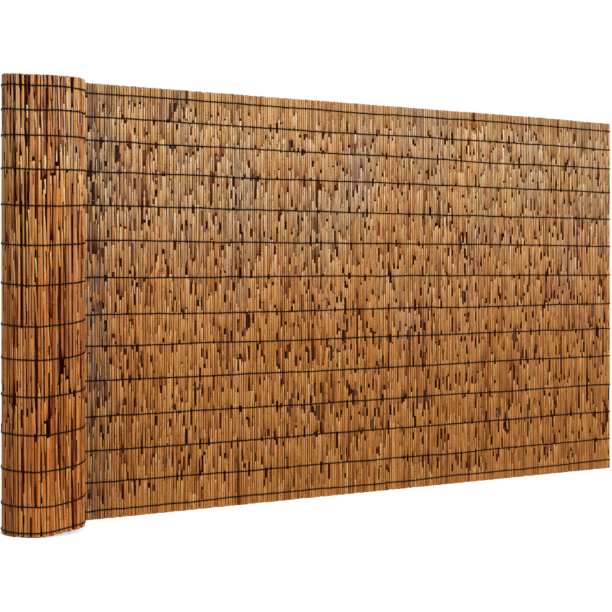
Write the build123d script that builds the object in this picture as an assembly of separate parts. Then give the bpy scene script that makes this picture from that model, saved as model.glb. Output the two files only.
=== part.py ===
from build123d import *
import math
import os
import random
from dataclasses import dataclass

os.makedirs("parts", exist_ok=True)

# Sizes of the mat, in millimetres
reed_length = 1200.0  # the reeds stand upright, so this is the height of the screen
mat_length = 4000.0  # whole mat, from its free end to the end inside the roll
open_length = 2143.0  # stretch that stands open as a panel
roll_depth = 198.0  # over the reeds of the outer turn, from the front of the roll to its back
roll_flat = 24.0  # straight run between two half turns, as a slack roll is wider than it is deep
mat_thickness = 7.6  # crest to crest
turn_gap = 3.0  # free way between two turns, which the wires of both faces share

# Reeds, which show as ridges on the faces that can be seen
reed_pitch = 7.5  # mean spacing of the reeds
reed_spread = 0.22  # how far a reed may be thicker or thinner than the mean, as a share
crest_share = 0.44  # part of a reed's width that its crest takes
ridge_depth = 1.6  # from a crest down to the valley beside it

# Short gaps where a reed ends before the next one in its line begins
face_gaps = 58
gap_shortest = 16.0
gap_longest = 60.0
gap_depth = 2.9  # from the crests
gap_side = 0.25  # how far a gap reaches past the reed that is missing, on each side
gap_row_room = 4.0  # kept between a gap and a row of wire

# Reeds that end short of the top or bottom edge of the open panel
short_ends = 34
short_least = 2.5
short_most = 9.0

# Wires that bind the reeds, in rows from top to bottom: each is a band of two strands, one above the other
wire_thickness = 1.3  # of one strand
wire_height = 2.6  # over both strands
wire_seat = 0.1  # clearance between a wire and the crests that it lies on
wire_end = 1.5  # from the free edge of the mat to the end of a wire
wire_bends = 12  # in each half turn of the roll, where a wire is pulled straight from reed to reed
top_row = 28.0  # from the top edge to the first row
bottom_row = 19.0  # from the bottom edge to the last row
row_spacings = (64, 66, 83, 94, 97, 101, 102, 88, 95, 100, 95, 93, 74)

# Worked out from the sizes above
half = mat_thickness / 2
turn_pitch = mat_thickness + turn_gap
outer_radius = roll_depth / 2 - half
wire_proud = wire_seat + wire_thickness
shift_x = (roll_depth / 2 + roll_flat + wire_proud - open_length) / 2
row_scale = (reed_length - top_row - bottom_row) / sum(row_spacings)
row_heights = [
    reed_length - top_row - row_scale * sum(row_spacings[:n]) for n in range(len(row_spacings) + 1)
]


@dataclass
class HalfTurn:
    """Half a turn of the roll: a short straight run, then half a circle."""

    start: float  # station along the mat where its straight run begins
    radius: float  # of the middle of the mat
    centre: Vector
    angle: float  # way that the back of the mat faces on the straight run

    @property
    def bend_start(self):
        return self.start + roll_flat

    @property
    def end(self):
        return self.bend_start + math.pi * self.radius


def half_turns():
    """Half turns from the outside of the roll in, until the mat is used up."""
    found = []
    start = open_length
    while start < mat_length:
        number = len(found)
        centre = Vector(-roll_flat, 0) if number % 2 == 0 else Vector(0, -turn_pitch / 2)
        radius = outer_radius - number * turn_pitch / 2
        found.append(HalfTurn(start, radius, centre, math.pi * (number + 0.5)))
        start = found[-1].end
    return found


turns = half_turns()
first_turn_end = turns[1].end
core_start = mat_length - math.pi * (turns[-1].radius + turns[-2].radius) - 2 * roll_flat


def heading(station):
    """Where a station along the mat lies: a point of its middle and the way that its back faces."""
    turn = turns[max(0, sum(t.start <= station for t in turns) - 1)]
    past = station - turn.bend_start
    angle = turn.angle + max(past, 0) / turn.radius
    out = Vector(math.cos(angle), math.sin(angle))
    along = Vector(-math.sin(angle), math.cos(angle))
    return turn.centre + out * turn.radius + along * min(past, 0), out


def place(station, offset):
    """The point at a station, this far behind the middle of the mat, in the part's own frame."""
    middle, out = heading(station)
    return middle + out * offset + Vector(shift_x, 0)


def reed_bounds(start, end, phase):
    """Stations where reeds of uneven width begin and end, filling a stretch of the mat."""
    count = max(2, round((end - start) / reed_pitch))
    widths = [1 + reed_spread * math.sin(2.4 * n + phase) for n in range(count)]
    scale = (end - start) / sum(widths)
    return [start + scale * sum(widths[:n]) for n in range(count + 1)]


def ridges(bounds, side):
    """Points over a row of reeds: each reed is a flat crest with a flank on each side."""
    points = [place(bounds[0], side * (half - ridge_depth))]
    for low, high in zip(bounds, bounds[1:]):
        flank = (high - low) * (1 - crest_share) / 2
        points += [place(low + flank, side * half), place(high - flank, side * half)]
        points.append(place(high, side * (half - ridge_depth)))
    return points


def plain(start, end, offset):
    """Edges along the mat where no reed shows: straight runs and half circles by turns."""
    bounds = {s for turn in turns for s in (turn.start, turn.bend_start) if start < s < end}
    stops = sorted({start, end} | bounds)
    edges = []
    for low, high in zip(stops, stops[1:]):
        middle = (low + high) / 2
        bent = any(turn.bend_start < middle < turn.end for turn in turns)
        first, halfway, last = (place(s, offset) for s in (low, middle, high))
        edges.append(ThreePointArc(first, halfway, last) if bent else Line(first, last))
    return edges


def mat_outline():
    """The mat from above: reeds on both faces of the panel, round the roll and inside its core."""
    back = ridges(back_reeds, 1)
    core = ridges(core_reeds, -1)
    front = ridges(front_reeds, -1)
    edges = [Line(a, b) for a, b in zip(back, back[1:])]
    edges.append(Line(back[-1], place(first_turn_end, half)))
    edges += plain(first_turn_end, mat_length, half)
    edges.append(Line(place(mat_length, half), core[-1]))
    edges += [Line(a, b) for a, b in zip(core, core[1:])]
    edges.append(Line(core[0], place(core_start, -half)))
    edges += plain(open_length, core_start, -half)
    edges.append(Line(place(open_length, -half), front[-1]))
    edges += [Line(a, b) for a, b in zip(front, front[1:])]
    edges.append(Line(front[0], back[0]))
    return Wire(edges)


def upright_box(station, side, width, low, high, deep):
    """A box that takes a reed away on one face between two heights, down to a depth from the crests."""
    out = heading(station)[1]
    inside = place(station, side * (half - deep))
    outside = place(station, side * (half + ridge_depth))
    middle = (inside + outside) / 2
    turn = math.degrees(math.atan2(out.Y, out.X))
    body = Box((outside - inside).length, width, high - low)
    return Pos(middle.X, middle.Y, (low + high) / 2) * Rot(0, 0, turn) * body


def missing_reed(bounds, number, side, low, high, deep):
    """The cut for one reed of a face, counted from the start of its stretch."""
    start, end = bounds[number], bounds[number + 1]
    return upright_box((start + end) / 2, side, end - start + 2 * gap_side, low, high, deep)


def gaps():
    """Cuts for the gaps on the faces, each between two rows of wire, and for the short ends."""
    draw = random.Random(5)
    taken = set()
    cuts = []
    while len(cuts) < face_gaps:
        bounds, side = draw.choice([(front_reeds, -1), (front_reeds, -1), (back_reeds, 1)])
        number = draw.randrange(2, len(bounds) - 3)
        row = draw.randrange(len(row_heights) - 1)
        length = draw.uniform(gap_shortest, gap_longest)
        spare = row_heights[row] - row_heights[row + 1] - length - 2 * gap_row_room
        low = row_heights[row + 1] + gap_row_room + draw.random() * spare
        near = {(side, n, row) for n in (number - 1, number, number + 1)}
        if spare <= 0 or near & taken:
            continue
        taken |= near
        cuts.append(missing_reed(bounds, number, side, low, low + length, gap_depth))
    while len(cuts) < face_gaps + short_ends:
        number = draw.randrange(1, len(front_reeds) - 2)
        top = draw.random() < 0.5
        length = draw.uniform(short_least, short_most)
        near = {("end", n, top) for n in (number - 1, number, number + 1)}
        if near & taken:
            continue
        taken |= near
        low = reed_length - length if top else -short_least
        high = low + length + short_least
        cuts.append(missing_reed(front_reeds, number, -1, low, high, mat_thickness + ridge_depth))
    return cuts


def reed_mat():
    """Reeds side by side, one wall from the free edge to the end inside the roll."""
    return extrude(make_face(mat_outline()), reed_length) - gaps()


def wire_line(side, end, gap):
    """Points along a wire at a distance from the crests: straight on the panel, bent on the roll."""
    points = [place(wire_end, side * (half + gap))]
    for turn in turns:
        for bend in range(wire_bends):
            station = turn.bend_start + turn.radius * (bend + 0.5) * math.pi / wire_bends
            if station < end:
                reach = (turn.radius + half + gap) / math.cos(math.pi / wire_bends / 2)
                points.append(place(station, side * (reach - turn.radius)))
    points.append(place(end, side * (half + gap)))
    return points


def wire(side, end, height):
    """One wire that lies on the crests of a face, from the free edge to a station."""
    outline = wire_line(side, end, wire_seat) + wire_line(side, end, wire_proud)[::-1]
    band = extrude(make_face(Polyline(outline, close=True)), wire_height)
    return Pos(0, 0, height - wire_height / 2) * band


front_reeds = reed_bounds(0, open_length, 0.0)
back_reeds = reed_bounds(0, first_turn_end, 1.3)
core_reeds = reed_bounds(core_start, mat_length, 2.1)

export_step(reed_mat(), "parts/reed_mat.step")
for number, height in enumerate(row_heights, 1):
    export_step(wire(-1, open_length, height), f"parts/front_wire_{number:02d}.step")
    export_step(wire(1, first_turn_end, height), f"parts/back_wire_{number:02d}.step")
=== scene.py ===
"""Reed screen: a mat of upright reeds bound with wire, part of it open as a panel and the rest rolled up."""
import logging
import math
import random
from dataclasses import dataclass, field
from enum import Enum
from typing import ClassVar, Union

import bmesh
import bpy
from bpy.types import Material, Mesh, Node, NodeSocket, Object
from mathutils import Matrix, Vector, noise

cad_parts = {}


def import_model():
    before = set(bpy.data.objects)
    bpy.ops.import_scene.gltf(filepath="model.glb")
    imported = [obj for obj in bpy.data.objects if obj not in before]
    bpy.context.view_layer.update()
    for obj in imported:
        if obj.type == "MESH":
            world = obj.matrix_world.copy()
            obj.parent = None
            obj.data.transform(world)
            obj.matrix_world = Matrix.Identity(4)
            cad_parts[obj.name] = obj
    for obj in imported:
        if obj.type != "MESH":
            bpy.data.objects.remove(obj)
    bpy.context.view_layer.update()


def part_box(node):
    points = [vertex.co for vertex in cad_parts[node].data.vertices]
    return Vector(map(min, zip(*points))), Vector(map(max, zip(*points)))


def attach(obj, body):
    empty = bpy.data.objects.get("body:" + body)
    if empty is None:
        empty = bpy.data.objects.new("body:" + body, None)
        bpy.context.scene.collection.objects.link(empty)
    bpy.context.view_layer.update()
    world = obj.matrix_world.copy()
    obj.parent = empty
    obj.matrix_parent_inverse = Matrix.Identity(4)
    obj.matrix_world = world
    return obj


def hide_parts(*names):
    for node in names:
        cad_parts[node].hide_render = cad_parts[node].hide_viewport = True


MM = 0.001
UP = Vector((0, 0, 1))
MAT_NODE = "reed_mat"
BODY = "root"

log = logging.getLogger("reed_screen")

Span = tuple[float, float]
Triple = tuple[float, float, float]
Colour = Triple
Feed = Union[float, Colour, NodeSocket]


class Layer(Enum):
    """The two layers of reeds that show, by the side of the mat's middle that they lie on."""

    FRONT = -1
    BACK = 1


class Tube(Enum):
    """How many sides and lengthwise spans a reed is made with."""

    SHORT = (7, 2)
    LONG = (8, 5)
    HIDDEN = (6, 2)


def shade(*values: int) -> Colour:
    """A colour written as screen values from 0 to 255, as the shaders want it.

    Args:
        values: Red, green and blue.

    Returns:
        The same colour in linear values.
    """
    parts = (value / 255 for value in values)
    return tuple(p / 12.92 if p <= 0.04045 else ((p + 0.055) / 1.055) ** 2.4 for p in parts)


def rise(value: float, low: float, high: float) -> float:
    """A smooth rise from 0 at one value to 1 at another, or a fall where they are the other way round.

    Args:
        value: What is measured.
        low: Where the result is 0.
        high: Where it is 1.

    Returns:
        The share of the rise, from 0 to 1.
    """
    share = min(1.0, max(0.0, (value - low) / (high - low)))
    return share * share * (3 - 2 * share)


def mat_noise(station: float, level: float, scale: Span, own: float) -> float:
    """Smooth noise over the mat.

    Args:
        station: Where a point is along the mat.
        level: Its height.
        scale: How fast the noise changes along the mat and up it.
        own: Sets this noise apart from the others.

    Returns:
        The noise, which stays between -1 and 1.
    """
    return noise.noise(Vector((station * scale[0], level * scale[1], own)))


def new_piece(name: str, bm: bmesh.types.BMesh, finish: Material, slot: str, *nodes: str) -> Object:
    """Turns a bmesh into a finished piece of the screen.

    Args:
        name: The name of the piece.
        bm: Its shape, in the part's own frame. It is freed here.
        finish: The material that it wears.
        slot: The material slot of the record that the finish stands for. It is not used.
        nodes: The solids that the piece replaces.

    Returns:
        The piece, which rides on the screen's one body.
    """
    mesh = bpy.data.meshes.new(name)
    bm.to_mesh(mesh)
    bm.free()
    mesh.materials.append(finish)
    piece = bpy.data.objects.new(name, mesh)
    bpy.context.scene.collection.objects.link(piece)
    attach(piece, BODY)
    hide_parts(*nodes)
    log.info("%s: %d faces", name, len(mesh.polygons))
    return piece


@dataclass(frozen=True)
class HalfTurn:
    """Half a turn of the roll: a short straight run, then half a circle."""

    start: float
    flat: float
    radius: float
    centre: Vector
    angle: float

    @property
    def bend_start(self) -> float:
        """Station where the straight run goes over into the bend."""
        return self.start + self.flat

    @property
    def end(self) -> float:
        """Station where the next half turn starts."""
        return self.bend_start + math.pi * self.radius


@dataclass
class MatPath:
    """Line of the middle of the mat, seen from above: the open panel from its free edge, then the roll."""

    mat_length: float = 4000 * MM
    open_length: float = 2143 * MM
    roll_depth: float = 198 * MM
    roll_flat: float = 24 * MM
    thickness: float = 7.6 * MM
    turn_gap: float = 3 * MM
    reed_pitch: float = 7.5 * MM
    reed_spread: float = 0.22
    reed_rhythm: float = 2.4
    back_phase: float = 1.3
    # Ends that aren't cut quite level: across the roll, and towards the free edge
    slant: float = math.radians(-33.75)
    blend: float = 100 * MM
    top_drop: float = 11.5 * MM
    top_reach: float = 150 * MM
    foot_lift: float = 12.5 * MM
    foot_reach: float = 100 * MM
    fall: float = 6 * MM
    edge_drop: float = 3 * MM
    edge_reach: float = 330 * MM
    turns: list[HalfTurn] = field(init=False)
    shift: Vector = field(init=False)
    height: float = field(init=False)

    def __post_init__(self) -> None:
        """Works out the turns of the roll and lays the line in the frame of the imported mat."""
        low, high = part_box(MAT_NODE)
        self.height = high[2] - low[2]
        self.shift = Vector((high[0] - self.open_length, 0, 0))
        step = (self.thickness + self.turn_gap) / 2
        self.turns = []
        start = self.open_length
        while start < self.mat_length:
            number = len(self.turns)
            centre = Vector((-self.roll_flat, 0, 0)) if number % 2 == 0 else Vector((0, -step, 0))
            radius = self.roll_depth / 2 - self.half - number * step
            turn = HalfTurn(start, self.roll_flat, radius, centre, math.pi * (number + 0.5))
            self.turns.append(turn)
            start = turn.end

    @property
    def half(self) -> float:
        """Half the thickness of the mat."""
        return self.thickness / 2

    @property
    def first_turn_end(self) -> float:
        """Station where the mat has gone once round the roll."""
        return self.turns[1].end

    def heading(self, station: float) -> tuple[Vector, Vector]:
        """Where the mat lies at a station.

        Args:
            station: Distance along the mat from its free edge.

        Returns:
            A point of the middle of the mat on the floor, and the way that the back of the mat faces.
        """
        turn = self.turns[max(0, sum(t.start <= station for t in self.turns) - 1)]
        past = station - turn.bend_start
        angle = turn.angle + max(past, 0) / turn.radius
        out = Vector((math.cos(angle), math.sin(angle), 0))
        along = Vector((-out.y, out.x, 0))
        return turn.centre + out * turn.radius + along * min(past, 0) + self.shift, out

    def point(self, station: float, offset: float, height: float) -> Vector:
        """A point of the mat.

        Args:
            station: Distance along the mat from its free edge.
            offset: How far the point is behind the middle of the mat.
            height: How far it is above the floor.

        Returns:
            The point, in the part's own frame.
        """
        middle, out = self.heading(station)
        return middle + out * offset + UP * height

    def upright(self, station: float, offset: float, low: float, high: float,
                deep: float, wide: float, lean: float) -> Matrix:
        """The matrix that sets a reed of unit size in the mat.

        Args:
            station: Where the foot of the reed stands along the mat.
            offset: How far its axis is behind the middle of the mat.
            low: Height of its lower end.
            high: Height of its upper end.
            deep: Its radius through the mat.
            wide: Its radius along the mat, as thicker reeds are pressed a little flat.
            lean: How far its upper end stands further along the mat than its foot.

        Returns:
            The matrix, for a reed that is one unit high and one unit in radius.
        """
        out = self.heading(station)[1]
        along = Vector((-out.y, out.x, 0))
        columns = Matrix((out * deep, along * wide, UP * (high - low) + along * lean)).transposed()
        return Matrix.Translation(self.point(station, offset, low)) @ columns.to_4x4()

    def ends(self, station: float) -> Span:
        """How low and how high the reeds reach at a station, as they aren't cut quite level.

        Args:
            station: Distance along the mat from its free edge.

        Returns:
            The heights of the foot and of the top.
        """
        slant = Vector((math.cos(self.slant), math.sin(self.slant), 0))
        middle = (self.turns[0].centre + self.turns[1].centre) / 2 + self.shift
        across = slant.dot(self.heading(station)[0] - middle)
        rolled = rise(station, self.open_length, self.open_length + self.blend)
        drop = self.top_drop * rolled * rise(across, -self.top_reach, 0.0)
        drop += self.edge_drop * rise(station, self.edge_reach, 0.0)
        drop += self.fall * max(0.0, 1 - station / self.open_length)
        return self.foot_lift * rolled * rise(across, 0.0, self.foot_reach), self.height - drop

    def reed_edges(self, start: float, end: float, layer: Layer) -> list[float]:
        """Stations between which the reeds of a stretch stand.

        Args:
            start: Station where the stretch begins.
            end: Station where it ends.
            layer: The face, which sets where in the stretch the thicker reeds come.

        Returns:
            One station more than there are reeds.
        """
        phase = 0.0 if layer is Layer.FRONT else self.back_phase
        count = max(2, round((end - start) / self.reed_pitch))
        widths = [1 + self.reed_spread * math.sin(self.reed_rhythm * n + phase) for n in range(count)]
        scale = (end - start) / sum(widths)
        return [start + scale * sum(widths[:n]) for n in range(count + 1)]


class NodeBench:
    """A material's node tree, with short ways to lay and link its nodes."""

    def __init__(self, name: str) -> None:
        """Starts an empty material.

        Args:
            name: The name of the material.
        """
        self.material = bpy.data.materials.new(name)
        self.material.use_nodes = True
        self.tree = self.material.node_tree
        self.tree.nodes.clear()

    def add(self, kind: str, **settings: object) -> Node:
        """Lays a node.

        Args:
            kind: The node's type.
            settings: Values of its own properties.

        Returns:
            The node.
        """
        node = self.tree.nodes.new(kind)
        for name, value in settings.items():
            setattr(node, name, value)
        return node

    def feed(self, socket: NodeSocket, value: Feed) -> None:
        """Links a socket, or sets it where the value is a plain one.

        Args:
            socket: The input.
            value: An output to link, a number or a colour.
        """
        if isinstance(value, NodeSocket):
            self.tree.links.new(value, socket)
        elif isinstance(value, tuple):
            socket.default_value = (*value, 1.0)
        else:
            socket.default_value = value

    def math(self, operation: str, *values: Feed) -> NodeSocket:
        """Lays a Math node.

        Args:
            operation: What it works out.
            values: Its inputs.

        Returns:
            Its output.
        """
        node = self.add("ShaderNodeMath", operation=operation)
        for socket, value in zip(node.inputs, values):
            self.feed(socket, value)
        return node.outputs[0]

    def step(self, value: NodeSocket, low: float, high: float, top: float = 1.0) -> NodeSocket:
        """A smooth rise from 0 at one value to the top at another.

        Args:
            value: What is measured.
            low: Where the rise begins.
            high: Where it ends.
            top: How high it goes.

        Returns:
            The rise.
        """
        node = self.add("ShaderNodeMapRange", interpolation_type="SMOOTHSTEP")
        for socket, number in zip(node.inputs, (value, low, high, 0.0, top)):
            self.feed(socket, number)
        return node.outputs[0]

    def mix(self, share: Feed, first: Feed, second: Feed, blend: str = "MIX") -> NodeSocket:
        """Mixes two colours.

        Args:
            share: How much of the second shows.
            first: The first colour.
            second: The second colour.
            blend: How the second is laid on the first.

        Returns:
            The mixed colour.
        """
        node = self.add("ShaderNodeMix", data_type="RGBA", blend_type=blend)
        self.feed(node.inputs["Factor"], share)
        self.feed(node.inputs[6], first)
        self.feed(node.inputs[7], second)
        return node.outputs[2]

    def ramp(self, value: NodeSocket, *stops: tuple[float, Colour]) -> NodeSocket:
        """Colours by a value.

        Args:
            value: What is measured, from 0 to 1.
            stops: Places and the colours that they have.

        Returns:
            The colour.
        """
        node = self.add("ShaderNodeValToRGB")
        elements = node.color_ramp.elements
        while len(elements) < len(stops):
            elements.new(0.5)
        for element, (place, colour) in zip(elements, stops):
            element.position = place
            element.color = (*colour, 1.0)
        self.feed(node.inputs[0], value)
        return node.outputs[0]

    def noise(self, place: NodeSocket, scale: float = 1.0, detail: float = 2.0) -> NodeSocket:
        """Noise from 0 to 1.

        Args:
            place: The vector that it is read at.
            scale: How fine it is.
            detail: How many finer layers it has.

        Returns:
            The noise.
        """
        node = self.add("ShaderNodeTexNoise")
        self.feed(node.inputs["Vector"], place)
        self.feed(node.inputs["Scale"], scale)
        self.feed(node.inputs["Detail"], detail)
        return node.outputs["Fac"]

    def vector(self, *numbers: Feed) -> NodeSocket:
        """Joins three numbers into a vector.

        Args:
            numbers: The three.

        Returns:
            The vector.
        """
        node = self.add("ShaderNodeCombineXYZ")
        for socket, value in zip(node.inputs, numbers):
            self.feed(socket, value)
        return node.outputs[0]

    def place(self) -> tuple[NodeSocket, NodeSocket]:
        """Where a point is on the object, as a vector and as its height alone."""
        where = self.add("ShaderNodeTexCoord").outputs["Object"]
        split = self.add("ShaderNodeSeparateXYZ")
        self.feed(split.inputs[0], where)
        return where, split.outputs["Z"]

    def finish(self, shader: Node) -> Material:
        """Shows a shader on the surface.

        Args:
            shader: The node that makes the surface.

        Returns:
            The finished material.
        """
        out = self.add("ShaderNodeOutputMaterial")
        self.feed(out.inputs["Surface"], shader.outputs[0])
        return self.material


@dataclass(frozen=True)
class ReedSkin:
    """Dry reed: straw, tan and brown stems, with bands, stains and fine lengthwise streaks, and painted
    light: highlights at reed tips, shade at reed feet and a tint from foot to top.
    """

    darkest: Colour = shade(30, 12, 4)
    dark: Colour = shade(92, 42, 14)
    brown: Colour = shade(150, 90, 42)
    tan: Colour = shade(206, 150, 84)
    straw: Colour = shade(230, 182, 120)
    pale: Colour = shade(250, 220, 172)
    grey_dark: Colour = shade(46, 33, 26)
    grey: Colour = shade(151, 127, 103)
    grey_pale: Colour = shade(220, 197, 168)
    # From foot to top: partly the reeds' own weathering, partly painted light, with skylight paling the top
    # and shade darkening the foot
    top_tint_and_skylight: Colour = (1.0, 1.08, 1.3)
    foot_tint_and_shade: Colour = (0.87, 0.69, 0.48)
    pinkish: Colour = (1.05, 0.95, 1.0)
    yellowish: Colour = (0.98, 1.02, 0.92)
    dark_tint: Colour = (1.0, 0.95, 0.9)
    tint_levels: Span = (0.35, 1.0)
    tint_tones: Span = (0.12, 0.45)
    speeds: Triple = (5.0, 24.0, 9.0)
    streak_scale: Triple = (1500.0, 1500.0, 22.0)
    own_spread: float = 371.0
    hue_spread: float = 29.0
    band_spread: float = 53.0
    stain: Triple = (0.67, 0.74, 0.5)
    slow_drift: float = 0.34
    streak_drift: float = 0.28
    # Painted highlight on the upper end of a reed that ends below a gap
    tip_length: float = 60 * MM
    tip_highlight: float = 0.2
    # Painted shade on the lower end of a reed that starts above a gap
    butt_length: float = 30 * MM
    butt_shade: float = 0.12
    band_least: float = 119 * MM
    band_more: float = 102 * MM
    ring: Triple = (2.6 * MM, 1.0 * MM, 0.7)
    wear_gain: float = 0.35
    wear_edge: Span = (0.26, 0.52)
    roughness: float = 0.42
    gloss: Triple = (0.1, 0.5, 0.16)
    bump_strength: float = 0.35
    bump_depth: float = 0.25 * MM

    def material(self, height: float) -> Material:
        """Makes the material.

        Args:
            height: How high the reeds stand, for what changes from foot to top.

        Returns:
            The material, which reads the tone and seed of each reed from its mesh.
        """
        bench = NodeBench("dry_reed")
        tone, seed, wear, below, above = (
            bench.add("ShaderNodeAttribute", attribute_name=name).outputs["Fac"] for name in ReedBundle.NOTES
        )
        where, level = bench.place()
        own = bench.math("MULTIPLY", seed, self.own_spread)
        slow, quick, patchy = (bench.math("MULTIPLY", level, speed) for speed in self.speeds)
        slow = bench.noise(bench.vector(own, 0.0, slow))
        quick = bench.noise(bench.vector(0.0, own, quick), detail=1.0)
        patchy = bench.noise(bench.vector(own, own, patchy), detail=1.0)
        lengthwise = bench.add("ShaderNodeMapping")
        lengthwise.inputs["Scale"].default_value = self.streak_scale
        bench.feed(lengthwise.inputs["Vector"], where)
        streak = bench.noise(lengthwise.outputs[0], detail=3.0)
        drift = bench.math("MULTIPLY_ADD", bench.math("SUBTRACT", slow, 0.5), self.slow_drift, tone)
        drift = bench.math("MULTIPLY_ADD", bench.math("SUBTRACT", streak, 0.5), self.streak_drift, drift)
        # Painted highlight near the upper end of a reed below a gap
        drift = bench.math("ADD", drift, bench.step(below, self.tip_length, 0.0, self.tip_highlight))
        # Painted shade near the lower end of a reed above a gap
        drift = bench.math("SUBTRACT", drift, bench.step(above, self.butt_length, 0.0, self.butt_shade))
        skin = bench.ramp(drift, (0.0, self.darkest), (0.18, self.dark), (0.38, self.brown),
                          (0.58, self.tan), (0.79, self.straw), (1.0, self.pale))
        skin = bench.mix(bench.step(quick, *self.stain), skin, self.dark)
        skin = bench.mix(self.band(bench, level, seed), skin, self.darkest)
        # Tint by height: partly weathering, partly painted skylight on the top and painted shade at the foot
        share = bench.math("DIVIDE", level, height)
        tint = bench.mix(bench.step(share, *self.tint_levels), self.foot_tint_and_shade, self.top_tint_and_skylight)
        tint = bench.mix(bench.step(drift, *self.tint_tones), self.dark_tint, tint)
        skin = bench.mix(1.0, skin, tint, "MULTIPLY")
        hue = bench.math("FRACT", bench.math("MULTIPLY", seed, self.hue_spread))
        skin = bench.mix(1.0, skin, bench.mix(hue, self.pinkish, self.yellowish), "MULTIPLY")
        patchy = bench.math("MULTIPLY_ADD", wear, self.wear_gain, patchy)
        worn = bench.math("MULTIPLY", wear, bench.step(patchy, *self.wear_edge))
        greyed = bench.ramp(drift, (0.1, self.grey_dark), (0.5, self.grey), (0.95, self.grey_pale))
        skin = bench.mix(worn, skin, greyed)
        shader = bench.add("ShaderNodeBsdfPrincipled")
        bench.feed(shader.inputs["Base Color"], skin)
        bench.feed(shader.inputs["Roughness"], self.roughness)
        bench.feed(shader.inputs["Specular IOR Level"], bench.step(drift, *self.gloss))
        bump = bench.add("ShaderNodeBump")
        bench.feed(bump.inputs["Strength"], self.bump_strength)
        bench.feed(bump.inputs["Distance"], self.bump_depth)
        bench.feed(bump.inputs["Height"], streak)
        bench.feed(shader.inputs["Normal"], bump.outputs[0])
        return bench.finish(shader)

    def band(self, bench: NodeBench, level: NodeSocket, seed: NodeSocket) -> NodeSocket:
        """Thin dark rings at the joints of the stem, at other heights on each reed.

        Args:
            bench: The node tree.
            level: Height of a point.
            seed: The reed's own random number.

        Returns:
            How dark the ring is at the point.
        """
        spacing = bench.math("MULTIPLY_ADD", seed, self.band_more, self.band_least)
        turns = bench.math("MULTIPLY_ADD", seed, self.band_spread, bench.math("DIVIDE", level, spacing))
        past = bench.math("MULTIPLY", bench.math("FRACT", turns), spacing)
        return bench.step(past, *self.ring)


@dataclass(frozen=True)
class WireCoating:
    """Dark binding wire with a dull coating."""

    colour: Colour = shade(16, 9, 4)
    worn: Colour = shade(34, 22, 13)
    roughness: float = 0.5
    gloss: float = 0.08
    grain: float = 220.0
    worn_grains: Span = (0.5, 0.72)

    def material(self) -> Material:
        """Makes the material."""
        bench = NodeBench("dark_wire")
        where = bench.place()[0]
        wear = bench.step(bench.noise(where, self.grain, detail=3.0), *self.worn_grains)
        shader = bench.add("ShaderNodeBsdfPrincipled")
        bench.feed(shader.inputs["Base Color"], bench.mix(wear, self.colour, self.worn))
        bench.feed(shader.inputs["Roughness"], self.roughness)
        bench.feed(shader.inputs["Specular IOR Level"], self.gloss)
        return bench.finish(shader)


@dataclass
class ReedStock:
    """Reeds of unit size and radius, in several kinds, from which each reed of the mat is taken."""

    tube: Tube = Tube.SHORT
    sway: Span = (0.06, 0.14)
    uneven: float = 0.2
    taper: float = 0.95
    kinds: int = 10
    wall: float = 0.32
    hollow: float = 0.012
    seed: int = 11
    meshes: list[Mesh] = field(init=False)

    def __post_init__(self) -> None:
        """Makes the kinds of reed."""
        draw = random.Random(self.seed)
        self.meshes = [self.reed(draw) for _ in range(self.kinds)]

    def reed(self, draw: random.Random) -> Mesh:
        """Makes one kind: a closed stem that tapers and sways, with an open pith at its top.

        Args:
            draw: The random numbers that set its sway.

        Returns:
            Its mesh, from 0 to 1 in height.
        """
        sides, spans = self.tube.value
        bm = bmesh.new()
        bmesh.ops.create_cone(bm, cap_ends=True, segments=sides, radius1=1, radius2=self.taper, depth=1,
                              matrix=Matrix.Translation(UP / 2))
        uprights = [e for e in bm.edges if abs(e.verts[0].co.z - e.verts[1].co.z) > 0.5]
        bmesh.ops.subdivide_edges(bm, edges=uprights, cuts=spans - 1, use_grid_fill=True)
        for level in range(spans + 1):
            ring = [v for v in bm.verts if abs(v.co.z - level / spans) < 0.01]
            shift = Vector((*(draw.uniform(-most, most) for most in self.sway), 0))
            if 0 < level < spans:
                shift.z = draw.uniform(-self.uneven, self.uneven) / spans
            bmesh.ops.translate(bm, verts=ring, vec=shift)
        for face in bm.faces:
            face.smooth = len(face.verts) == 4
            if not face.smooth:
                for edge in face.edges:
                    edge.smooth = False
        top = [f for f in bm.faces if min(v.co.z for v in f.verts) > 0.99]
        bmesh.ops.inset_individual(bm, faces=top, thickness=self.wall, depth=-self.hollow)
        mesh = bpy.data.meshes.new("reed_kind")
        bm.to_mesh(mesh)
        bm.free()
        return mesh


@dataclass(frozen=True)
class ReedLook:
    """What the finish needs to know of one reed."""

    tone: float
    seed: float
    wear: float = 0.0
    # tip: the reed ends below a gap and gets a painted highlight at its upper end
    tip: bool = False
    # butt: the reed starts above a gap and gets painted shade at its lower end
    butt: bool = False


@dataclass
class ReedBundle:
    """Reeds gathered in one piece, with notes on each point for the finish."""

    NOTES: ClassVar[tuple[str, ...]] = ("tone", "seed", "wear", "below", "above")
    FAR: ClassVar[float] = 1.0

    name: str
    bm: bmesh.types.BMesh = field(default_factory=bmesh.new)
    notes: list[tuple[float, ...]] = field(default_factory=list)

    def add(self, kind: Mesh, place: Matrix, look: ReedLook) -> None:
        """Sets one reed.

        Args:
            kind: The reed of unit size that is set.
            place: The matrix that sets it.
            look: What the finish needs to know of it.
        """
        copy = kind.copy()
        copy.transform(place)
        self.bm.from_mesh(copy)
        bpy.data.meshes.remove(copy)
        length = place[2][2]
        for vertex in kind.vertices:
            below = (1 - vertex.co.z) * length if look.tip else self.FAR
            above = vertex.co.z * length if look.butt else self.FAR
            self.notes.append((look.tone, look.seed, look.wear, below, above))

    def piece(self, finish: Material) -> Object:
        """Makes the piece.

        Args:
            finish: The material that it wears.

        Returns:
            The piece.
        """
        piece = new_piece(self.name, self.bm, finish, "reed", MAT_NODE)
        for name, values in zip(self.NOTES, zip(*self.notes)):
            attribute = piece.data.attributes.new(name, "FLOAT", "POINT")
            attribute.data.foreach_set("value", values)
        return piece


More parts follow.
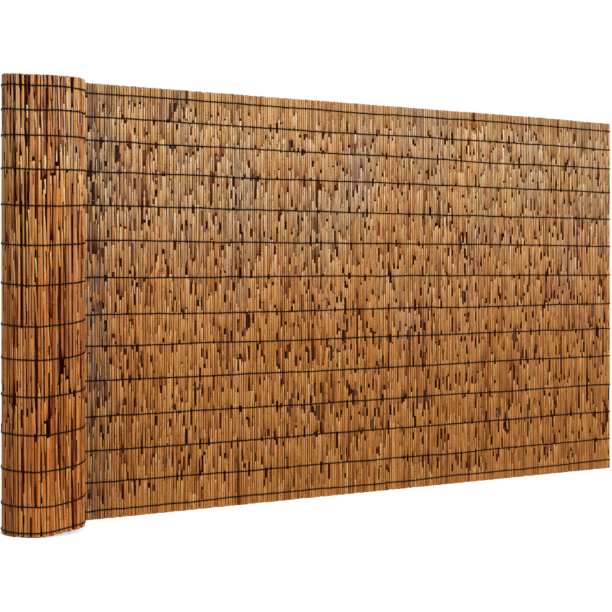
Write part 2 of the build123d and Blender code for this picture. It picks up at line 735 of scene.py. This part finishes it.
@dataclass
class GapRow:
    """One row of short gaps, whose height drifts up and down from reed to reed."""

    middle: float
    room: float = 58 * MM
    fastest: float = 34 * MM
    turning: float = 0.4
    jitter: float = 14 * MM
    level: float = field(init=False)
    speed: float = 0.0

    def __post_init__(self) -> None:
        """Starts in the middle."""
        self.level = self.middle

    def next(self, draw: random.Random) -> float:
        """Goes on to the next reed.

        Args:
            draw: The random numbers.

        Returns:
            The height of the gap there.
        """
        past = (self.level - self.middle) / self.room
        if draw.random() < self.turning or abs(past) > 1:
            self.speed = draw.uniform(-1 - past, 1 - past) * self.fastest
        self.level += self.speed
        return self.level + draw.uniform(-self.jitter, self.jitter)


@dataclass(frozen=True)
class Stretch:
    """How the reeds of one stretch of the mat are laid."""

    name: str
    layer: Layer
    start: float
    stop: float
    rolled: bool = False
    gap_rows: int = 21
    gap_share: float = 0.78
    gap: Span = (14 * MM, 56 * MM)
    foot_spread: float = 2.4 * MM
    radius_share: float = 0.49
    radius_spread: float = 0.08
    sink: float = 0.6 * MM
    slope: float = 0.01
    slope_bias: float = 0.0
    tone: float = 0.58
    tone_spread: float = 0.075
    dark_share: float = 0.04
    dark_tone: Span = (0.1, 0.36)
    patches: float = 12.0  # of sheath, for each metre


@dataclass
class ReedMat:
    """The reeds of the whole mat: two faces that show, and reeds between them whose dark tones are painted
    shade deep in the mat.
    """

    path: MatPath
    end_spread: float = 2.4 * MM
    small_gap: Span = (9 * MM, 17 * MM)
    small_share: float = 0.08
    small_more: float = 0.5
    small_levels: Span = (0.5, 0.95)
    top_shorter: float = 0.3
    top_denser: float = 0.2
    long_reed: float = 0.45
    least_run: float = 28 * MM
    crowding: float = 0.86
    most_shared: float = 0.6
    most_lean: float = 8 * MM
    most_radius: float = 3.6 * MM
    lean_scale: Span = (8.0, 4.0)
    lean_own: float = 9.0
    tone_scale: Span = (9.0, 6.0)
    tone_drift: float = 0.09
    least_tone: float = 0.05
    dark_longest: float = 0.2
    core_radius: float = 2.5 * MM
    core_spread: float = 7.2 * MM
    core_stray: float = 0.2 * MM
    # Tones of the middle reeds, dark as painted shade seen between the reeds and through the gaps
    panel_core_shade_tone: Span = (0.0, 0.16)
    roll_core_shade_tone: Span = (-0.2, 0.0)
    sheath: Span = (20 * MM, 62 * MM)
    sheath_reach: float = 10 * MM
    sheath_stray: float = 20 * MM
    sheath_room: float = 40 * MM
    sheath_radius: float = 0.52
    sheath_tone: Span = (0.05, 0.3)
    sheath_wear: float = 0.5
    patch_levels: Span = (0.08, 0.95)
    grey_scale: Span = (7.0, 3.0)
    grey_own: float = 5.0
    grey_base: float = 0.18
    grey_foot: float = 0.1
    grey_most: float = 0.95
    # The greyer strip beside the roll, which also carries painted shade of the roll: grey and dark are what
    # the foot has, then the change to the top
    strip_reach: Span = (270 * MM, 170 * MM)
    strip_grey: Span = (0.6, 0.35)
    strip_slim: float = 0.14
    strip_painted_shade: Span = (0.2, 0.08)
    seed: int = 4

    def build(self, panel_finish: Material, roll_finish: Material) -> None:
        """Makes the pieces.

        Args:
            panel_finish: The material of the reeds that stand open.
            roll_finish: The material of the reeds in the roll.
        """
        draw = random.Random(self.seed)
        mouth, inner, end = self.path.open_length, self.path.first_turn_end, self.path.mat_length
        stocks = {tube: ReedStock(tube) for tube in Tube}
        for stretch in (
            Stretch("reeds_panel_front", Layer.FRONT, 0.0, mouth),
            Stretch("reeds_panel_back", Layer.BACK, 0.0, mouth),
            Stretch("reeds_roll_outside", Layer.BACK, mouth, inner, rolled=True, gap_rows=22, gap_share=0.9,
                    gap=(14 * MM, 66 * MM), foot_spread=6 * MM, radius_share=0.36, radius_spread=0.24,
                    sink=1.0 * MM, slope=0.03, slope_bias=-0.045, tone=0.84, tone_spread=0.15,
                    dark_share=0.4, dark_tone=(0.02, 0.3)),
            Stretch("reeds_roll_inside", Layer.FRONT, mouth, inner, rolled=True, gap_rows=2),
            Stretch("reeds_inner_turns_outside", Layer.BACK, inner, end, rolled=True, gap_rows=0),
            Stretch("reeds_inner_turns_inside", Layer.FRONT, inner, end, rolled=True, gap_rows=4),
        ):
            self.face(stretch, stocks, draw).piece(roll_finish if stretch.rolled else panel_finish)
        hidden = stocks[Tube.HIDDEN]
        self.core("reeds_panel_core", 0.0, mouth, hidden, self.panel_core_shade_tone, draw).piece(panel_finish)
        self.core("reeds_roll_core", mouth, end, hidden, self.roll_core_shade_tone, draw).piece(roll_finish)

    def face(self, stretch: Stretch, stocks: dict[Tube, ReedStock], draw: random.Random) -> ReedBundle:
        """Sets the reeds of a stretch of one face.

        Args:
            stretch: The stretch.
            stocks: The reeds to take from.
            draw: The random numbers.

        Returns:
            The reeds.
        """
        bundle = ReedBundle(stretch.name)
        edges = self.path.reed_edges(stretch.start, stretch.stop, stretch.layer)
        rows = [GapRow(self.path.height * ((number + 0.5) / stretch.gap_rows) ** self.crowding)
                for number in range(stretch.gap_rows)]
        patches = [
            (draw.uniform(stretch.start, stretch.stop), draw.uniform(*self.patch_levels) * self.path.height)
            for _ in range(int(stretch.patches * (stretch.stop - stretch.start)))
        ]
        beside: list[Span] = []
        for low_edge, high_edge in zip(edges, edges[1:]):
            station = (low_edge + high_edge) / 2
            width = high_edge - low_edge
            runs = self.runs(station, rows, stretch, beside, draw)
            beside = [(here[1], above[0]) for here, above in zip(runs, runs[1:])]
            for low, high in runs:
                self.reed(bundle, stretch, stocks, station, width, low, high, draw)
            for middle in (level for there, level in patches if abs(there - station) < self.sheath_reach):
                self.sheath_piece(bundle, stretch, stocks[Tube.SHORT], station, width, middle, draw)
        return bundle

    def reed(self, bundle: ReedBundle, stretch: Stretch, stocks: dict[Tube, ReedStock], station: float,
             width: float, low: float, high: float, draw: random.Random) -> None:
        """Sets one reed of a face.

        Args:
            bundle: Where it goes.
            stretch: The stretch that it is in.
            stocks: The reeds to take from.
            station: Where its line stands along the mat.
            width: The room of its line.
            low: Height of its lower end.
            high: Height of its upper end.
            draw: The random numbers.
        """
        length = high - low
        middle = (low + high) / 2
        size = 1 + draw.uniform(-stretch.radius_spread, stretch.radius_spread)
        sheltered = self.sheltered(stretch, station)
        wide = width * stretch.radius_share * size * (1 - self.strip_slim * sheltered)
        deep = min(self.most_radius, wide)
        offset = stretch.layer.value * (self.path.half - deep - draw.uniform(0, stretch.sink))
        bias = stretch.slope_bias * (0.5 + mat_noise(station, middle, self.lean_scale, self.lean_own))
        slope = draw.uniform(-1, 1) * stretch.slope + bias
        shift = max(-self.most_lean, min(self.most_lean, slope * length))
        tone = draw.gauss(stretch.tone, stretch.tone_spread)
        tone += self.tone_drift * mat_noise(station, middle, self.tone_scale, stretch.layer.value)
        # Painted shade of the roll on the strip beside it, darkest at the foot
        foot_shade, shade_regain = self.strip_painted_shade
        tone -= (foot_shade - shade_regain * low / self.path.height) * sheltered
        if draw.random() < stretch.dark_share and length < self.dark_longest:
            tone = draw.uniform(*stretch.dark_tone)
        foot, top = self.path.ends(station)
        look = ReedLook(
            min(1.0, max(self.least_tone, tone)), draw.random(), self.wear(stretch, station, middle),
            tip=high < top - self.end_spread, butt=low > foot + stretch.foot_spread,
        )
        place = self.path.upright(station - shift / 2, offset, low, high, deep, wide, shift)
        tube = Tube.LONG if length > self.long_reed else Tube.SHORT
        bundle.add(draw.choice(stocks[tube].meshes), place, look)

    def wear(self, stretch: Stretch, station: float, middle: float) -> float:
        """How grey a reed is: in patches, more so near the top and where the panel meets the roll.

        Args:
            stretch: The stretch that it is in.
            station: Where it stands along the mat.
            middle: Height of its middle.

        Returns:
            The share of grey, from 0 to 1.
        """
        share = middle / self.path.height
        patch = mat_noise(station, middle, self.grey_scale, self.grey_own + stretch.layer.value)
        grey = max(0.0, self.grey_base + patch) * rise(share, self.grey_foot, 1.0)
        least, more = self.strip_grey
        return min(self.grey_most, grey + (least + more * share) * self.sheltered(stretch, station))

    def sheltered(self, stretch: Stretch, station: float) -> float:
        """How far a place is in the greyer strip of the panel's front that the roll stands over, which also
        carries painted shade of the roll.

        Args:
            stretch: The stretch that it is in.
            station: Where it is along the mat.

        Returns:
            The share, from 0 to 1.
        """
        if stretch.layer is not Layer.FRONT or stretch.rolled:
            return 0.0
        far, near = (self.path.open_length - reach for reach in self.strip_reach)
        return rise(station, far, near)

    def sheath_piece(self, bundle: ReedBundle, stretch: Stretch, stock: ReedStock, station: float,
                     width: float, middle: float, draw: random.Random) -> None:
        """Sets a scrap of dark leaf sheath that still clings round a reed.

        Args:
            bundle: Where it goes.
            stretch: The stretch that it is in.
            stock: The shapes to take from.
            station: Where its reed stands along the mat.
            width: The room of the reed's line.
            middle: Height of the patch that it belongs to.
            draw: The random numbers.
        """
        length = draw.uniform(*self.sheath)
        low = middle + draw.uniform(-self.sheath_stray, self.sheath_stray)
        low = min(low, self.path.height - self.sheath_room - length)
        radius = self.sheath_radius * width
        offset = stretch.layer.value * (self.path.half - radius)
        look = ReedLook(draw.uniform(*self.sheath_tone), draw.random(), wear=self.sheath_wear)
        place = self.path.upright(station, offset, low, low + length, radius, radius, 0.0)
        bundle.add(draw.choice(stock.meshes), place, look)

    def runs(self, station: float, rows: list[GapRow], stretch: Stretch, beside: list[Span],
             draw: random.Random) -> list[Span]:
        """Lower and upper ends of the reeds that follow each other in one line.

        Args:
            station: Where the line stands along the mat.
            rows: The rows of gaps.
            stretch: The stretch that the line is in.
            beside: Lower and upper ends of the gaps in the line before.
            draw: The random numbers.

        Returns:
            The ends of each reed, from the foot up.
        """
        foot, top = self.path.ends(station)
        low = foot + draw.uniform(0, stretch.foot_spread)
        top -= draw.uniform(0, self.end_spread)
        found = []
        for middle in sorted(row.next(draw) for row in rows):
            level = middle / top
            small = draw.random() < self.small_share + self.small_more * rise(level, *self.small_levels)
            length = draw.uniform(*(self.small_gap if small else stretch.gap))
            length *= 1 - self.top_shorter * level
            high = middle - length / 2
            shared = sum(max(0.0, min(high + length, b) - max(high, a)) for a, b in beside)
            share = stretch.gap_share * (1 + self.top_denser * level)
            if draw.random() > share or shared > self.most_shared * length:
                continue
            if high - low < self.least_run or top - high - length < self.least_run:
                continue
            found.append((low, high))
            low = high + length
        return found + [(low, top)]

    def core(self, name: str, start: float, end: float, stock: ReedStock, tones: Span,
             draw: random.Random) -> ReedBundle:
        """Sets the reeds in the middle of the mat, which close it where a reed of a face is missing; their
        dark tones are painted shade.

        Args:
            name: The name of the piece.
            start: Station where they start.
            end: Station where they end.
            stock: The reeds to take from.
            tones: The darkest and the lightest.
            draw: The random numbers.

        Returns:
            The reeds.
        """
        bundle = ReedBundle(name)
        step = self.path.reed_pitch / 2
        for number in range(int((end - start) / step) - 1):
            station = start + (number + 1) * step
            foot, top = self.path.ends(station)
            low = foot + draw.uniform(0, self.core_spread)
            high = top - draw.uniform(0, self.core_spread)
            offset = draw.uniform(-self.core_stray, self.core_stray)
            place = self.path.upright(station, offset, low, high, self.core_radius, self.core_radius, 0.0)
            bundle.add(draw.choice(stock.meshes), place, ReedLook(draw.uniform(*tones), draw.random()))
        return bundle


@dataclass
class BindingRows:
    """Rows of wire that hold the reeds: a twisted pair on each face, crossed between every second reed."""

    path: MatPath
    strand: float = 0.9 * MM
    spread: float = 1.05 * MM
    seat: float = 0.1 * MM
    dip: float = 0.3 * MM
    knot: float = 0.9 * MM
    knot_height: float = 2.2 * MM
    knot_lean: float = 0.06
    merged: float = 0.12 * MM
    wander: float = 0.4 * MM
    pull: float = 0.05
    slack: float = 7 * MM
    # Pairs are where a stray begins and is full, as shares of the height or of the way round the roll
    edge_gain: float = 1.5
    edge_rows: Span = (0.85, 0.35)
    mouth_rows: Span = (0.3, 0.12)
    roll_sag: float = 19 * MM
    sag_rows: Span = (1.02, 0.3)
    sag_in: Span = (0.0, 0.25)
    sag_out: Span = (0.85, 0.55)
    foot_room: float = 12 * MM
    edge_room: float = 1.5 * MM
    rows: int = 14
    sides: int = 5
    seed: int = 21

    def build(self, finish: Material) -> None:
        """Makes the wires.

        Args:
            finish: The material of the wires.
        """
        draw = random.Random(self.seed)
        stitch = self.stitch(tied=True)
        plain = self.stitch(tied=False)
        for row in range(1, self.rows + 1):
            low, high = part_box(f"front_wire_{row:02d}")
            height = (low[2] + high[2]) / 2
            for layer, name in ((Layer.FRONT, "front_wire"), (Layer.BACK, "back_wire")):
                bm = bmesh.new()
                seen = self.path.open_length if layer is Layer.FRONT else self.path.first_turn_end
                drift = 0.0
                for start, end, template in ((0.0, seen, stitch), (seen, self.path.mat_length, plain)):
                    drift = self.stretch(bm, template, layer, start, end, height, drift, draw)
                bmesh.ops.remove_doubles(bm, verts=bm.verts, dist=self.merged)
                bmesh.ops.holes_fill(bm, edges=[e for e in bm.edges if e.is_boundary])
                bmesh.ops.recalc_face_normals(bm, faces=bm.faces)
                new_piece(f"binding_{name}_{row:02d}", bm, finish, "binding_wire", f"{name}_{row:02d}")

    def stray(self, station: float, height: float) -> float:
        """How far a row strays: lower rows rise towards the free edge and sag on the roll.

        Args:
            station: Where the wire is along the mat.
            height: Height of the row.

        Returns:
            How far the wire is above its row.
        """
        share = height / self.path.height
        opened = min(1.0, max(0.0, 1 - station / self.path.open_length))
        free = self.edge_gain * opened ** 2 * rise(share, *self.edge_rows)
        mouth, inner = self.path.open_length, self.path.first_turn_end
        beside = rise(station, inner, mouth) * (1 - opened)
        around = (station - mouth) / (inner - mouth)
        sag = self.roll_sag * rise(share, *self.sag_rows)
        sag *= rise(around, *self.sag_in) * rise(around, *self.sag_out)
        return self.slack * (free + beside * rise(share, *self.mouth_rows)) - sag

    def stitch(self, tied: bool) -> Mesh:
        """One stitch of unit length, over two reeds: two strands, one above the other.

        Args:
            tied: Whether a tie goes round them in the middle.

        Returns:
            Its mesh, along X, with Y away from the mat.
        """
        bm = bmesh.new()
        places = ((0, 0), (0.5, -self.dip), (1, 0)) if tied else ((0, 0), (1, 0))
        for way in (1, -1):
            self.sweep(bm, [Vector((x, y, way * self.spread)) for x, y in places], self.strand)
        if tied:
            tie = [Vector((0.5 + way * self.knot_lean, self.knot / 2 * (way == 0), way * self.knot_height))
                   for way in (-1, 0, 1)]
            bmesh.ops.holes_fill(bm, edges=self.sweep(bm, tie, self.knot))
        for face in bm.faces:
            face.smooth = True
        mesh = bpy.data.meshes.new("stitch")
        bm.to_mesh(mesh)
        bm.free()
        return mesh

    def sweep(self, bm: bmesh.types.BMesh, points: list[Vector], radius: float) -> list[bmesh.types.BMEdge]:
        """Draws a ring out along points.

        Args:
            bm: Where the tube is made.
            points: The middle of the tube.
            radius: Its radius.

        Returns:
            The edges of its two open ends.
        """
        turned = Matrix.Translation(points[0]) @ Matrix.Rotation(math.pi / 2, 4, "Y")
        ring = bmesh.ops.create_circle(bm, segments=self.sides, radius=radius, matrix=turned)["verts"]
        edges = list({e for v in ring for e in v.link_edges})
        ends = list(edges)
        for here, there in zip(points, points[1:]):
            made = bmesh.ops.extrude_edge_only(bm, edges=edges)["geom"]
            ring = [g for g in made if isinstance(g, bmesh.types.BMVert)]
            edges = [g for g in made if isinstance(g, bmesh.types.BMEdge) and set(g.verts) <= set(ring)]
            bmesh.ops.translate(bm, verts=ring, vec=there - here)
        return ends + edges

    def stretch(self, bm: bmesh.types.BMesh, template: Mesh, layer: Layer, start: float, end: float,
                height: float, drift: float, draw: random.Random) -> float:
        """Lays stitches along a stretch of one face.

        Args:
            bm: Where they go.
            template: The stitch of unit length.
            layer: The face.
            start: Station where the stretch begins.
            end: Station where it ends.
            height: Height of the row.
            drift: How far above its row the wire starts.
            draw: The random numbers.

        Returns:
            How far above its row the wire ends.
        """
        side = layer.value
        edges = self.path.reed_edges(start, end, layer)[::2]
        if start == 0.0:
            edges[0] = self.edge_room
        offset = side * (self.path.half + self.seat + self.strand)
        points = []
        for station in edges:
            foot, top = self.path.ends(station)
            level = foot + height * (top - foot) / self.path.height + drift + self.stray(station, height)
            points.append(self.path.point(station, offset, max(foot + self.foot_room, level)))
            last, drift = drift, drift + draw.gauss(0, self.wander) - drift * self.pull
        for number, station in enumerate(edges[1:]):
            out = self.path.heading((edges[number] + station) / 2)[1] * side
            step = points[number + 1] - points[number]
            columns = Matrix((step, out, UP)).transposed().to_4x4()
            copy = template.copy()
            copy.transform(Matrix.Translation(points[number]) @ columns)
            bm.from_mesh(copy)
            bpy.data.meshes.remove(copy)
        return last


@dataclass
class Studio:
    """Pale floor, white surroundings, soft lamps and the camera."""

    floor_size: float = 40.0
    floor_colour: Colour = (0.8, 0.8, 0.8)
    floor_glow: float = 0.62
    dome: float = 0.45
    camera_place: Vector = field(default_factory=lambda: Vector((-2.6836, -3.7273, 0.6926)))
    camera_turn: float = math.radians(-33.746)
    lens: float = 90.05
    sensor: float = 36.0
    horizon_row: float = 267.75
    picture: float = 612.0

    def build(self) -> None:
        """Makes the surroundings."""
        self.floor()
        self.world()
        self.lamp("key_lamp", Vector((0.1, -4.4, 2.8)), Vector((-0.1, 0, 0.6)), size=1.6, power=138)
        self.lamp("side_lamp", Vector((-4.5, -1.5, 2.4)), Vector((-1.0, 0, 0.6)), size=2.0, power=10)
        self.camera()
        bpy.context.scene.view_settings.view_transform = "Standard"

    def floor(self) -> None:
        """Lays the floor, which keeps the shadow and shows white straight or in gloss or glass."""
        bm = bmesh.new()
        bmesh.ops.create_grid(bm, x_segments=1, y_segments=1, size=self.floor_size)
        mesh = bpy.data.meshes.new("floor")
        bm.to_mesh(mesh)
        bm.free()
        floor = bpy.data.objects.new("floor", mesh)
        bpy.context.scene.collection.objects.link(floor)
        bench = NodeBench("white_floor")
        cloth = bench.add("ShaderNodeBsdfDiffuse")
        bench.feed(cloth.inputs["Color"], self.floor_colour)
        path = bench.add("ShaderNodeLightPath")
        seen = bench.math("MAXIMUM", path.outputs["Is Glossy Ray"], path.outputs["Is Transmission Ray"])
        seen = bench.math("MAXIMUM", path.outputs["Is Camera Ray"], seen)
        glow = bench.add("ShaderNodeEmission")
        bench.feed(glow.inputs["Strength"], bench.math("MULTIPLY", seen, self.floor_glow))
        both = bench.add("ShaderNodeAddShader")
        bench.feed(both.inputs[0], cloth.outputs[0])
        bench.feed(both.inputs[1], glow.outputs[0])
        mesh.materials.append(bench.finish(both))

    def world(self) -> None:
        """Surrounds the scene with soft light, which the camera sees as white."""
        world = bpy.data.worlds.new("surroundings")
        world.use_nodes = True
        bpy.context.scene.world = world
        tree = world.node_tree
        back = tree.nodes["Background"]
        back.inputs["Color"].default_value = (1, 1, 1, 1)
        path = tree.nodes.new("ShaderNodeLightPath")
        most = tree.nodes.new("ShaderNodeMath")
        most.operation = "MAXIMUM"
        tree.links.new(path.outputs["Is Camera Ray"], most.inputs[0])
        tree.links.new(path.outputs["Is Transmission Ray"], most.inputs[1])
        level = tree.nodes.new("ShaderNodeMapRange")
        level.inputs["To Min"].default_value = self.dome
        level.inputs["To Max"].default_value = 1.0
        tree.links.new(most.outputs[0], level.inputs["Value"])
        tree.links.new(level.outputs[0], back.inputs["Strength"])

    def lamp(self, name: str, place: Vector, target: Vector, size: float, power: float) -> None:
        """Hangs a soft lamp.

        Args:
            name: The lamp's name.
            place: Where it hangs.
            target: What it points at.
            size: The side of its square.
            power: Its power in watts.
        """
        light = bpy.data.lights.new(name, "AREA")
        light.size = size
        light.energy = power
        lamp = bpy.data.objects.new(name, light)
        lamp.location = place
        lamp.rotation_euler = (target - place).to_track_quat("-Z", "Y").to_euler()
        bpy.context.scene.collection.objects.link(lamp)

    def camera(self) -> None:
        """Sets the camera where the photograph was taken from."""
        lens = bpy.data.cameras.new("camera")
        lens.lens = self.lens
        lens.sensor_width = self.sensor
        lens.shift_y = (self.horizon_row - self.picture / 2) / self.picture
        camera = bpy.data.objects.new("camera", lens)
        camera.location = self.camera_place
        camera.rotation_euler = (math.pi / 2, 0, self.camera_turn)
        bpy.context.scene.collection.objects.link(camera)
        bpy.context.scene.camera = camera


def main() -> None:
    """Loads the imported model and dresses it."""
    logging.basicConfig(level=logging.INFO, format="%(name)s: %(message)s")
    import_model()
    path = MatPath()
    Studio().build()
    roll_skin = ReedSkin(darkest=shade(32, 8, 3), dark=shade(92, 34, 12), brown=shade(152, 76, 30),
                         tan=shade(212, 150, 78), straw=shade(236, 186, 112), pale=shade(255, 226, 165),
                         top_tint_and_skylight=(1.0, 0.9, 0.85), foot_tint_and_shade=(0.78, 0.485, 0.275),
                         slow_drift=0.5, streak_drift=0.36, tip_length=45 * MM, butt_shade=0.16)
    ReedMat(path).build(ReedSkin().material(path.height), roll_skin.material(path.height))
    BindingRows(path).build(WireCoating().material())
    for kind in [m for m in bpy.data.meshes if not m.users]:
        bpy.data.meshes.remove(kind)


if __name__ == "__main__":
    main()
